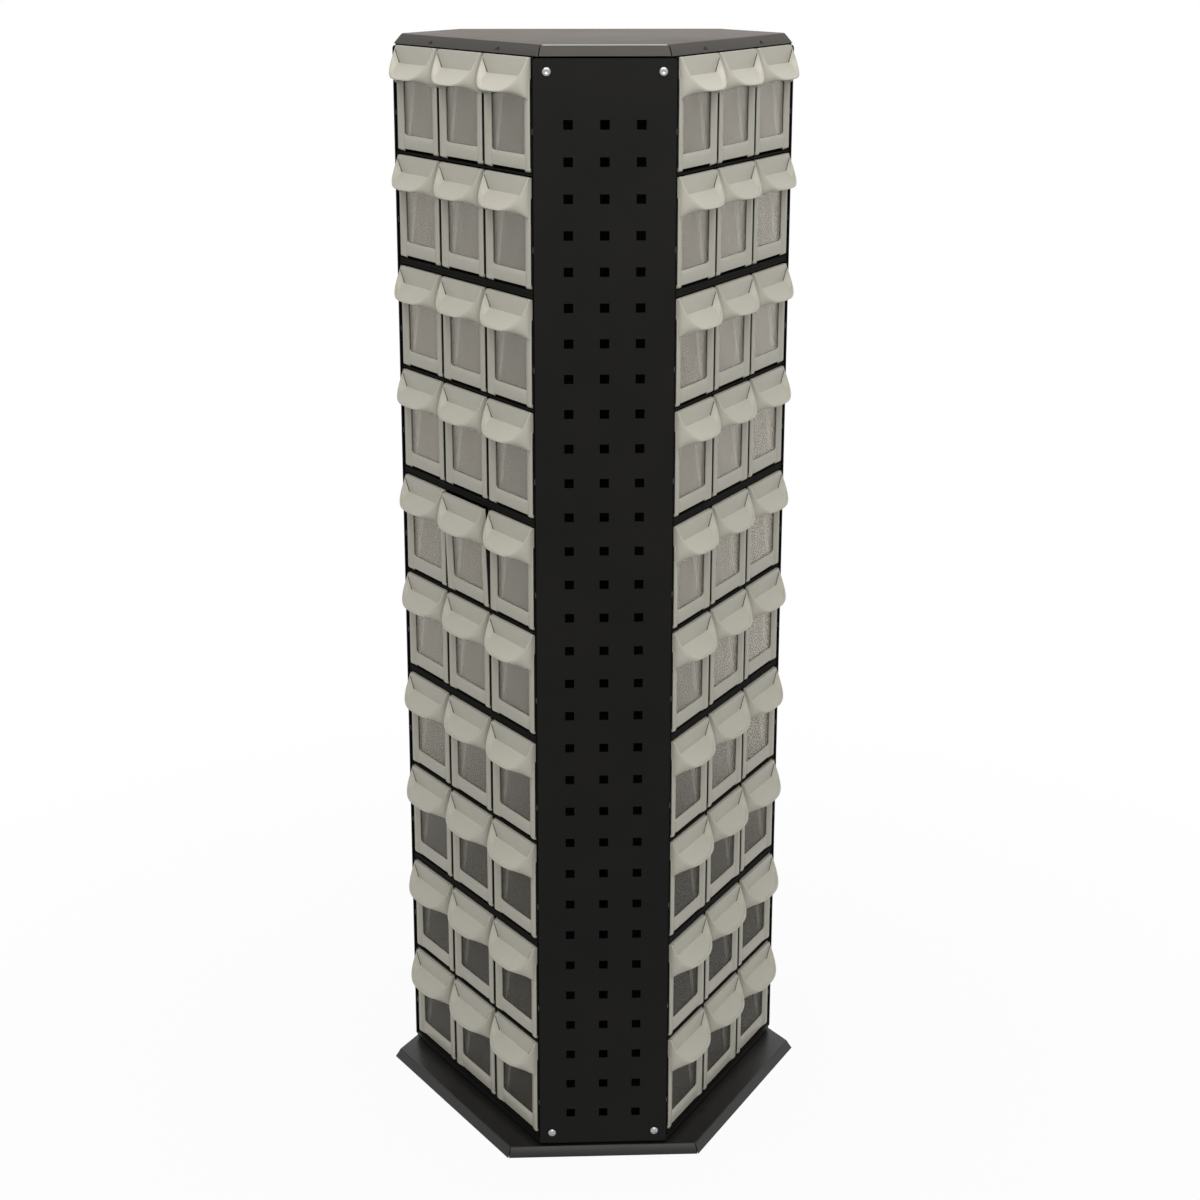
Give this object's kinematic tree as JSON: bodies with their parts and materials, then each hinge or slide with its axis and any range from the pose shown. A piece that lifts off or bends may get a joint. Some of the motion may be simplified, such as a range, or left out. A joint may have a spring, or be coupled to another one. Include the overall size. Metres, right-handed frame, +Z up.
{
  "type": "tool storage caddy",
  "caption": "Three-sided free-standing storage tower with rows of clear-fronted tilt bins on its wide faces and pegboard panels on its corners, on a low swivel base.",
  "frame": {"origin": "on the tower's swivel axis at floor level", "axes": "+Z up, -Y towards the front pegboard, +X to the right when looking at that pegboard"},
  "size_m": [0.5096, 0.4414, 1.2736],
  "materials": {
    "powder_black": "satin powder coat",
    "housing_black": "satin moulded plastic",
    "bin_grey": "satin moulded plastic",
    "bright_steel": "bright",
    "zinc_steel": "zinc plated",
    "tub_clear": "clear moulded plastic"
  },
  "bodies": {
    "base": {"base_tray": "powder_black", "turntable_lower_race": "zinc_steel", "turntable_balls": "bright_steel"},
    "tower": {"turntable_upper_race": "zinc_steel", "tower_floor": "powder_black", "top_cap": "powder_black", "corner_upright_front": "powder_black", "corner_upright_right": "powder_black", "corner_upright_left": "powder_black", "pegboard_front": "powder_black", "pegboard_right": "powder_black", "pegboard_left": "powder_black", "panel_screws": "bright_steel", "bin_housings_left": "housing_black", "bin_housings_right": "housing_black", "bin_housings_rear": "housing_black", "bin_hinge_rods": "bright_steel", "housing_clips": "bright_steel"},
    "bin_left_r01_c1": {"tilt_bin_left_r01_c1": "bin_grey"},
    "bin_left_r01_c2": {"tilt_bin_left_r01_c2": "bin_grey"},
    "bin_left_r01_c3": {"tilt_bin_left_r01_c3": "bin_grey"},
    "bin_left_r02_c1": {"tilt_bin_left_r02_c1": "bin_grey"},
    "bin_left_r02_c2": {"tilt_bin_left_r02_c2": "bin_grey"},
    "bin_left_r02_c3": {"tilt_bin_left_r02_c3": "bin_grey"},
    "bin_row_left_r03": {"tilt_bin_row_left_r03": "bin_grey"},
    "bin_row_left_r04": {"tilt_bin_row_left_r04": "bin_grey"},
    "bin_row_left_r05": {"tilt_bin_row_left_r05": "bin_grey"},
    "bin_row_left_r06": {"tilt_bin_row_left_r06": "bin_grey"},
    "bin_row_left_r07": {"tilt_bin_row_left_r07": "bin_grey"},
    "bin_row_left_r08": {"tilt_bin_row_left_r08": "bin_grey"},
    "bin_row_left_r09": {"tilt_bin_row_left_r09": "bin_grey"},
    "bin_row_left_r10": {"tilt_bin_row_left_r10": "bin_grey"},
    "bin_right_r01_c1": {"tilt_bin_right_r01_c1": "bin_grey"},
    "bin_right_r01_c2": {"tilt_bin_right_r01_c2": "bin_grey"},
    "bin_right_r01_c3": {"tilt_bin_right_r01_c3": "bin_grey"},
    "bin_right_r02_c1": {"tilt_bin_right_r02_c1": "bin_grey"},
    "bin_right_r02_c2": {"tilt_bin_right_r02_c2": "bin_grey"},
    "bin_right_r02_c3": {"tilt_bin_right_r02_c3": "bin_grey"},
    "bin_row_right_r03": {"tilt_bin_row_right_r03": "bin_grey"},
    "bin_row_right_r04": {"tilt_bin_row_right_r04": "bin_grey"},
    "bin_row_right_r05": {"tilt_bin_row_right_r05": "bin_grey"},
    "bin_row_right_r06": {"tilt_bin_row_right_r06": "bin_grey"},
    "bin_row_right_r07": {"tilt_bin_row_right_r07": "bin_grey"},
    "bin_row_right_r08": {"tilt_bin_row_right_r08": "bin_grey"},
    "bin_row_right_r09": {"tilt_bin_row_right_r09": "bin_grey"},
    "bin_row_right_r10": {"tilt_bin_row_right_r10": "bin_grey"},
    "bin_rear_r01_c1": {"tilt_bin_rear_r01_c1": "bin_grey"},
    "bin_rear_r01_c2": {"tilt_bin_rear_r01_c2": "bin_grey"},
    "bin_rear_r01_c3": {"tilt_bin_rear_r01_c3": "bin_grey"},
    "bin_rear_r02_c1": {"tilt_bin_rear_r02_c1": "bin_grey"},
    "bin_rear_r02_c2": {"tilt_bin_rear_r02_c2": "bin_grey"},
    "bin_rear_r02_c3": {"tilt_bin_rear_r02_c3": "bin_grey"},
    "bin_row_rear_r03": {"tilt_bin_row_rear_r03": "bin_grey"},
    "bin_row_rear_r04": {"tilt_bin_row_rear_r04": "bin_grey"},
    "bin_row_rear_r05": {"tilt_bin_row_rear_r05": "bin_grey"},
    "bin_row_rear_r06": {"tilt_bin_row_rear_r06": "bin_grey"},
    "bin_row_rear_r07": {"tilt_bin_row_rear_r07": "bin_grey"},
    "bin_row_rear_r08": {"tilt_bin_row_rear_r08": "bin_grey"},
    "bin_row_rear_r09": {"tilt_bin_row_rear_r09": "bin_grey"},
    "bin_row_rear_r10": {"tilt_bin_row_rear_r10": "bin_grey"}
  },
  "joints": [
    {"name": "tower_swivel", "type": "hinge", "parent": "base", "child": "tower", "pos_m": [0, 0, 0.01435], "axis": [0, 0, 1], "continuous": true},
    {"name": "bin_left_r01_c1_tilt", "type": "hinge", "parent": "tower", "child": "bin_left_r01_c1", "pos_m": [-0.19674, 0.00188, 1.1477], "axis": [0.5, -0.866, 0], "range_deg": [0, 33]},
    {"name": "bin_left_r01_c2_tilt", "type": "hinge", "parent": "tower", "child": "bin_left_r01_c2", "pos_m": [-0.14674, -0.08472, 1.1477], "axis": [0.5, -0.866, 0], "range_deg": [0, 33]},
    {"name": "bin_left_r01_c3_tilt", "type": "hinge", "parent": "tower", "child": "bin_left_r01_c3", "pos_m": [-0.09674, -0.17132, 1.1477], "axis": [0.5, -0.866, 0], "range_deg": [0, 33]},
    {"name": "bin_left_r02_c1_tilt", "type": "hinge", "parent": "tower", "child": "bin_left_r02_c1", "pos_m": [-0.19674, 0.00188, 1.0257], "axis": [0.5, -0.866, 0], "range_deg": [0, 33]},
    {"name": "bin_left_r02_c2_tilt", "type": "hinge", "parent": "tower", "child": "bin_left_r02_c2", "pos_m": [-0.14674, -0.08472, 1.0257], "axis": [0.5, -0.866, 0], "range_deg": [0, 33]},
    {"name": "bin_left_r02_c3_tilt", "type": "hinge", "parent": "tower", "child": "bin_left_r02_c3", "pos_m": [-0.09674, -0.17132, 1.0257], "axis": [0.5, -0.866, 0], "range_deg": [0, 33]},
    {"name": "bin_row_left_r03_tilt", "type": "hinge", "parent": "tower", "child": "bin_row_left_r03", "pos_m": [-0.14674, -0.08472, 0.8982], "axis": [0.5, -0.866, 0], "range_deg": [0, 33]},
    {"name": "bin_row_left_r04_tilt", "type": "hinge", "parent": "tower", "child": "bin_row_left_r04", "pos_m": [-0.14674, -0.08472, 0.7762], "axis": [0.5, -0.866, 0], "range_deg": [0, 33]},
    {"name": "bin_row_left_r05_tilt", "type": "hinge", "parent": "tower", "child": "bin_row_left_r05", "pos_m": [-0.14674, -0.08472, 0.6487], "axis": [0.5, -0.866, 0], "range_deg": [0, 33]},
    {"name": "bin_row_left_r06_tilt", "type": "hinge", "parent": "tower", "child": "bin_row_left_r06", "pos_m": [-0.14674, -0.08472, 0.5267], "axis": [0.5, -0.866, 0], "range_deg": [0, 33]},
    {"name": "bin_row_left_r07_tilt", "type": "hinge", "parent": "tower", "child": "bin_row_left_r07", "pos_m": [-0.14674, -0.08472, 0.3992], "axis": [0.5, -0.866, 0], "range_deg": [0, 33]},
    {"name": "bin_row_left_r08_tilt", "type": "hinge", "parent": "tower", "child": "bin_row_left_r08", "pos_m": [-0.14674, -0.08472, 0.2772], "axis": [0.5, -0.866, 0], "range_deg": [0, 33]},
    {"name": "bin_row_left_r09_tilt", "type": "hinge", "parent": "tower", "child": "bin_row_left_r09", "pos_m": [-0.14674, -0.08472, 0.1497], "axis": [0.5, -0.866, 0], "range_deg": [0, 33]},
    {"name": "bin_row_left_r10_tilt", "type": "hinge", "parent": "tower", "child": "bin_row_left_r10", "pos_m": [-0.14674, -0.08472, 0.0277], "axis": [0.5, -0.866, 0], "range_deg": [0, 33]},
    {"name": "bin_right_r01_c1_tilt", "type": "hinge", "parent": "tower", "child": "bin_right_r01_c1", "pos_m": [0.09674, -0.17132, 1.1477], "axis": [0.5, 0.866, 0], "range_deg": [0, 33]},
    {"name": "bin_right_r01_c2_tilt", "type": "hinge", "parent": "tower", "child": "bin_right_r01_c2", "pos_m": [0.14674, -0.08472, 1.1477], "axis": [0.5, 0.866, 0], "range_deg": [0, 33]},
    {"name": "bin_right_r01_c3_tilt", "type": "hinge", "parent": "tower", "child": "bin_right_r01_c3", "pos_m": [0.19674, 0.00188, 1.1477], "axis": [0.5, 0.866, 0], "range_deg": [0, 33]},
    {"name": "bin_right_r02_c1_tilt", "type": "hinge", "parent": "tower", "child": "bin_right_r02_c1", "pos_m": [0.09674, -0.17132, 1.0257], "axis": [0.5, 0.866, 0], "range_deg": [0, 33]},
    {"name": "bin_right_r02_c2_tilt", "type": "hinge", "parent": "tower", "child": "bin_right_r02_c2", "pos_m": [0.14674, -0.08472, 1.0257], "axis": [0.5, 0.866, 0], "range_deg": [0, 33]},
    {"name": "bin_right_r02_c3_tilt", "type": "hinge", "parent": "tower", "child": "bin_right_r02_c3", "pos_m": [0.19674, 0.00188, 1.0257], "axis": [0.5, 0.866, 0], "range_deg": [0, 33]},
    {"name": "bin_row_right_r03_tilt", "type": "hinge", "parent": "tower", "child": "bin_row_right_r03", "pos_m": [0.14674, -0.08472, 0.8982], "axis": [0.5, 0.866, 0], "range_deg": [0, 33]},
    {"name": "bin_row_right_r04_tilt", "type": "hinge", "parent": "tower", "child": "bin_row_right_r04", "pos_m": [0.14674, -0.08472, 0.7762], "axis": [0.5, 0.866, 0], "range_deg": [0, 33]},
    {"name": "bin_row_right_r05_tilt", "type": "hinge", "parent": "tower", "child": "bin_row_right_r05", "pos_m": [0.14674, -0.08472, 0.6487], "axis": [0.5, 0.866, 0], "range_deg": [0, 33]},
    {"name": "bin_row_right_r06_tilt", "type": "hinge", "parent": "tower", "child": "bin_row_right_r06", "pos_m": [0.14674, -0.08472, 0.5267], "axis": [0.5, 0.866, 0], "range_deg": [0, 33]},
    {"name": "bin_row_right_r07_tilt", "type": "hinge", "parent": "tower", "child": "bin_row_right_r07", "pos_m": [0.14674, -0.08472, 0.3992], "axis": [0.5, 0.866, 0], "range_deg": [0, 33]},
    {"name": "bin_row_right_r08_tilt", "type": "hinge", "parent": "tower", "child": "bin_row_right_r08", "pos_m": [0.14674, -0.08472, 0.2772], "axis": [0.5, 0.866, 0], "range_deg": [0, 33]},
    {"name": "bin_row_right_r09_tilt", "type": "hinge", "parent": "tower", "child": "bin_row_right_r09", "pos_m": [0.14674, -0.08472, 0.1497], "axis": [0.5, 0.866, 0], "range_deg": [0, 33]},
    {"name": "bin_row_right_r10_tilt", "type": "hinge", "parent": "tower", "child": "bin_row_right_r10", "pos_m": [0.14674, -0.08472, 0.0277], "axis": [0.5, 0.866, 0], "range_deg": [0, 33]},
    {"name": "bin_rear_r01_c1_tilt", "type": "hinge", "parent": "tower", "child": "bin_rear_r01_c1", "pos_m": [0.1, 0.16944, 1.1477], "axis": [-1, 0, 0], "range_deg": [0, 33]},
    {"name": "bin_rear_r01_c2_tilt", "type": "hinge", "parent": "tower", "child": "bin_rear_r01_c2", "pos_m": [0, 0.16944, 1.1477], "axis": [-1, 0, 0], "range_deg": [0, 33]},
    {"name": "bin_rear_r01_c3_tilt", "type": "hinge", "parent": "tower", "child": "bin_rear_r01_c3", "pos_m": [-0.1, 0.16944, 1.1477], "axis": [-1, 0, 0], "range_deg": [0, 33]},
    {"name": "bin_rear_r02_c1_tilt", "type": "hinge", "parent": "tower", "child": "bin_rear_r02_c1", "pos_m": [0.1, 0.16944, 1.0257], "axis": [-1, 0, 0], "range_deg": [0, 33]},
    {"name": "bin_rear_r02_c2_tilt", "type": "hinge", "parent": "tower", "child": "bin_rear_r02_c2", "pos_m": [0, 0.16944, 1.0257], "axis": [-1, 0, 0], "range_deg": [0, 33]},
    {"name": "bin_rear_r02_c3_tilt", "type": "hinge", "parent": "tower", "child": "bin_rear_r02_c3", "pos_m": [-0.1, 0.16944, 1.0257], "axis": [-1, 0, 0], "range_deg": [0, 33]},
    {"name": "bin_row_rear_r03_tilt", "type": "hinge", "parent": "tower", "child": "bin_row_rear_r03", "pos_m": [0, 0.16944, 0.8982], "axis": [-1, 0, 0], "range_deg": [0, 33]},
    {"name": "bin_row_rear_r04_tilt", "type": "hinge", "parent": "tower", "child": "bin_row_rear_r04", "pos_m": [0, 0.16944, 0.7762], "axis": [-1, 0, 0], "range_deg": [0, 33]},
    {"name": "bin_row_rear_r05_tilt", "type": "hinge", "parent": "tower", "child": "bin_row_rear_r05", "pos_m": [0, 0.16944, 0.6487], "axis": [-1, 0, 0], "range_deg": [0, 33]},
    {"name": "bin_row_rear_r06_tilt", "type": "hinge", "parent": "tower", "child": "bin_row_rear_r06", "pos_m": [0, 0.16944, 0.5267], "axis": [-1, 0, 0], "range_deg": [0, 33]},
    {"name": "bin_row_rear_r07_tilt", "type": "hinge", "parent": "tower", "child": "bin_row_rear_r07", "pos_m": [0, 0.16944, 0.3992], "axis": [-1, 0, 0], "range_deg": [0, 33]},
    {"name": "bin_row_rear_r08_tilt", "type": "hinge", "parent": "tower", "child": "bin_row_rear_r08", "pos_m": [0, 0.16944, 0.2772], "axis": [-1, 0, 0], "range_deg": [0, 33]},
    {"name": "bin_row_rear_r09_tilt", "type": "hinge", "parent": "tower", "child": "bin_row_rear_r09", "pos_m": [0, 0.16944, 0.1497], "axis": [-1, 0, 0], "range_deg": [0, 33]},
    {"name": "bin_row_rear_r10_tilt", "type": "hinge", "parent": "tower", "child": "bin_row_rear_r10", "pos_m": [0, 0.16944, 0.0277], "axis": [-1, 0, 0], "range_deg": [0, 33]}
  ]
}
